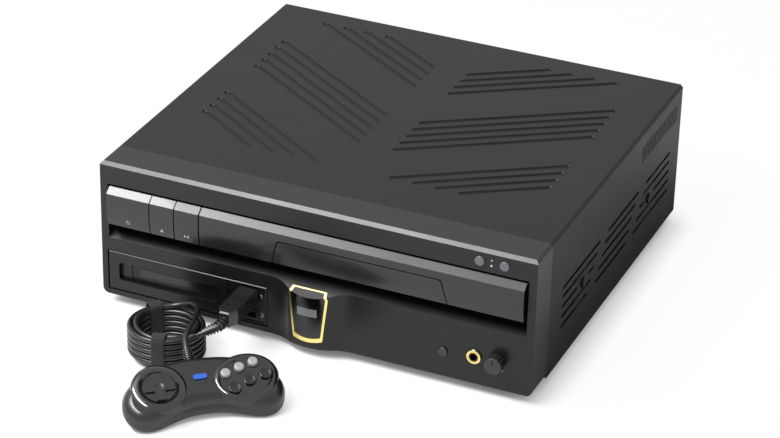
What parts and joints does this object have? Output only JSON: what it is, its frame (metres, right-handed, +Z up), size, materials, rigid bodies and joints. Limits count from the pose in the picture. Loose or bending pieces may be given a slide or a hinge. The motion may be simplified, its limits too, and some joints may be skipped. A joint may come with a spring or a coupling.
{
  "type": "laserdisc player",
  "caption": "Wide disc player with a drawer inside a drawer, a slide-in game pack and a corded controller plugged into it.",
  "frame": {"origin": "on the floor under the middle of the player's body", "axes": "+X to the right seen from the front, +Y to the back, +Z up"},
  "size_m": [0.4244, 0.5751, 0.145],
  "materials": {
    "sheet_steel": "fine satin texture",
    "zinc_steel": "zinc plated",
    "bezel_plastic": "satin",
    "key_plastic": "satin gloss",
    "tray_plastic": "satin",
    "frame_plastic": "satin",
    "gear_plastic": "satin",
    "gold_trim": "pale satin gold",
    "lens": "gloss",
    "grey_plate": "brushed",
    "board": "solder mask",
    "foot": "matt",
    "socket": "satin",
    "core": "varnished",
    "button_grey": "satin",
    "button_dark": "gloss",
    "start_blue": "satin gloss",
    "pad_plastic": "fine texture",
    "cord": "satin",
    "tie": "woven",
    "lamp": "gloss",
    "steel": "ground"
  },
  "bodies": {
    "player": {"bottom_pan": "zinc_steel", "top_cover": "sheet_steel", "front_bezel": "bezel_plastic", "rear_panel": "sheet_steel", "rear_sockets": "socket", "mains_inlet": "socket", "feet": "foot", "side_screws": "sheet_steel", "shield_frame": "gold_trim", "shield_lens": "lens", "shield_plate": "grey_plate", "main_board": "board", "power_board": "board", "power_transformer": "core", "front_boards": "board", "phones_jack": "button_dark", "indicator_lamps": "lamp", "mechanism_frame": "frame_plastic", "loading_motor": "steel", "clamp_bridge": "zinc_steel", "pack_bay": "zinc_steel"},
    "wide_tray": {"wide_drawer": "tray_plastic", "wide_drawer_front": "key_plastic"},
    "small_tray": {"small_drawer": "tray_plastic", "small_drawer_front": "key_plastic"},
    "deck": {"lift_deck": "zinc_steel", "disc_motor": "steel", "pickup_rods": "steel"},
    "disc_drive": {"turntable": "tray_plastic"},
    "pickup": {"pickup_sled": "frame_plastic"},
    "clamp": {"disc_clamp": "tray_plastic"},
    "gear": {"drawer_gear": "gear_plastic"},
    "power_key": {"power_key": "key_plastic"},
    "release_key": {"release_key": "key_plastic"},
    "play_key": {"play_key": "key_plastic"},
    "wide_button": {"wide_drawer_button": "button_grey"},
    "small_button": {"small_drawer_button": "button_grey"},
    "memory_button": {"memory_button": "button_dark"},
    "level_knob": {"level_knob": "button_dark"},
    "pack": {"pack_case": "bezel_plastic", "pack_face": "bezel_plastic", "controller_ports": "steel", "controller_plug": "pad_plastic", "cord_plug_side": "cord", "cord_coil": "cord", "cord_controller_side": "cord", "cord_ties": "tie", "pad_boot": "cord", "pad_top_shell": "pad_plastic", "pad_bottom_shell": "pad_plastic"},
    "pack_door": {"cartridge_door": "bezel_plastic"},
    "pad_rocker": {"pad_pivot": "gear_plastic"},
    "pad_direction": {"pad_direction": "button_dark"},
    "pad_start": {"pad_start": "start_blue"},
    "pad_a": {"pad_button_a": "button_dark"},
    "pad_b": {"pad_button_b": "button_dark"},
    "pad_c": {"pad_button_c": "button_dark"},
    "pad_x": {"pad_button_x": "button_grey"},
    "pad_y": {"pad_button_y": "button_grey"},
    "pad_z": {"pad_button_z": "button_grey"}
  },
  "joints": [
    {"name": "wide_drawer_slide", "type": "slide", "parent": "player", "child": "wide_tray", "axis": [0, -1, 0], "range_m": [0, 0.31]},
    {"name": "small_drawer_slide", "type": "slide", "parent": "wide_tray", "child": "small_tray", "axis": [0, -1, 0], "range_m": [0, 0.225]},
    {"name": "drawer_gear_turn", "type": "hinge", "parent": "player", "child": "gear", "pos_m": [0.126, -0.14, 0.0833], "axis": [0, 0, 1], "range_deg": [-1980, 0]},
    {"name": "deck_lift", "type": "slide", "parent": "player", "child": "deck", "axis": [0, 0, 1], "range_m": [0, 0.01]},
    {"name": "turntable_spin", "type": "hinge", "parent": "deck", "child": "disc_drive", "pos_m": [0.0463, -0.025, 0.084], "axis": [0, 0, 1], "continuous": true},
    {"name": "pickup_slide", "type": "slide", "parent": "deck", "child": "pickup", "axis": [0, 1, 0], "range_m": [0, 0.118]},
    {"name": "clamp_spin", "type": "hinge", "parent": "player", "child": "clamp", "pos_m": [0.0463, -0.025, 0.1], "axis": [0, 0, 1], "continuous": true},
    {"name": "power_key_press", "type": "slide", "parent": "player", "child": "power_key", "axis": [0, 1, 0], "range_m": [0, 0.0012], "stiffness_N_per_m": 900, "springref_m": -0.0006},
    {"name": "release_key_press", "type": "slide", "parent": "player", "child": "release_key", "axis": [0, 1, 0], "range_m": [0, 0.0012], "stiffness_N_per_m": 900, "springref_m": -0.0006},
    {"name": "play_key_press", "type": "slide", "parent": "player", "child": "play_key", "axis": [0, 1, 0], "range_m": [0, 0.0012], "stiffness_N_per_m": 900, "springref_m": -0.0006},
    {"name": "wide_button_press", "type": "slide", "parent": "player", "child": "wide_button", "axis": [0, 1, 0], "range_m": [0, 0.0012], "stiffness_N_per_m": 900, "springref_m": -0.0006},
    {"name": "small_button_press", "type": "slide", "parent": "player", "child": "small_button", "axis": [0, 1, 0], "range_m": [0, 0.0012], "stiffness_N_per_m": 900, "springref_m": -0.0006},
    {"name": "memory_button_press", "type": "slide", "parent": "player", "child": "memory_button", "axis": [0, 1, 0], "range_m": [0, 0.0012], "stiffness_N_per_m": 900, "springref_m": -0.0006},
    {"name": "level_turn", "type": "hinge", "parent": "player", "child": "level_knob", "pos_m": [0.1767, -0.195, 0.0387], "axis": [0, -1, 0], "range_deg": [-150, 150]},
    {"name": "pack_slide", "type": "slide", "parent": "player", "child": "pack", "axis": [0, -1, 0], "range_m": [0, 0.14]},
    {"name": "cartridge_door_turn", "type": "hinge", "parent": "pack", "child": "pack_door", "pos_m": [-0.138, -0.1845, 0.0428], "axis": [1, 0, 0], "range_deg": [0, 80], "stiffness_Nm_per_rad": 0.004, "springref_deg": -17.19},
    {"name": "pad_rock_long", "type": "hinge", "parent": "pack", "child": "pad_rocker", "pos_m": [-0.07243, -0.34239, 0.02717], "axis": [0.766, 0.6428, 0], "range_deg": [-4, 4], "stiffness_Nm_per_rad": 0.15},
    {"name": "pad_rock_short", "type": "hinge", "parent": "pad_rocker", "child": "pad_direction", "pos_m": [-0.07243, -0.34239, 0.02717], "axis": [-0.5826, 0.6943, 0.4226], "range_deg": [-4, 4], "stiffness_Nm_per_rad": 0.15},
    {"name": "pad_start_press", "type": "slide", "parent": "pack", "child": "pad_start", "axis": [-0.2717, 0.3237, -0.9063], "range_m": [0, 0.001], "stiffness_N_per_m": 600, "springref_m": -0.0006},
    {"name": "pad_a_press", "type": "slide", "parent": "pack", "child": "pad_a", "axis": [-0.2717, 0.3237, -0.9063], "range_m": [0, 0.0012], "stiffness_N_per_m": 600, "springref_m": -0.0006},
    {"name": "pad_b_press", "type": "slide", "parent": "pack", "child": "pad_b", "axis": [-0.2717, 0.3237, -0.9063], "range_m": [0, 0.0012], "stiffness_N_per_m": 600, "springref_m": -0.0006},
    {"name": "pad_c_press", "type": "slide", "parent": "pack", "child": "pad_c", "axis": [-0.2717, 0.3237, -0.9063], "range_m": [0, 0.0012], "stiffness_N_per_m": 600, "springref_m": -0.0006},
    {"name": "pad_x_press", "type": "slide", "parent": "pack", "child": "pad_x", "axis": [-0.2717, 0.3237, -0.9063], "range_m": [0, 0.0012], "stiffness_N_per_m": 600, "springref_m": -0.0006},
    {"name": "pad_y_press", "type": "slide", "parent": "pack", "child": "pad_y", "axis": [-0.2717, 0.3237, -0.9063], "range_m": [0, 0.0012], "stiffness_N_per_m": 600, "springref_m": -0.0006},
    {"name": "pad_z_press", "type": "slide", "parent": "pack", "child": "pad_z", "axis": [-0.2717, 0.3237, -0.9063], "range_m": [0, 0.0012], "stiffness_N_per_m": 600, "springref_m": -0.0006}
  ],
  "couplings": [
    {"joint": "drawer_gear_turn", "follows": "wide_drawer_slide", "rad_per_m": -111.11}
  ]
}
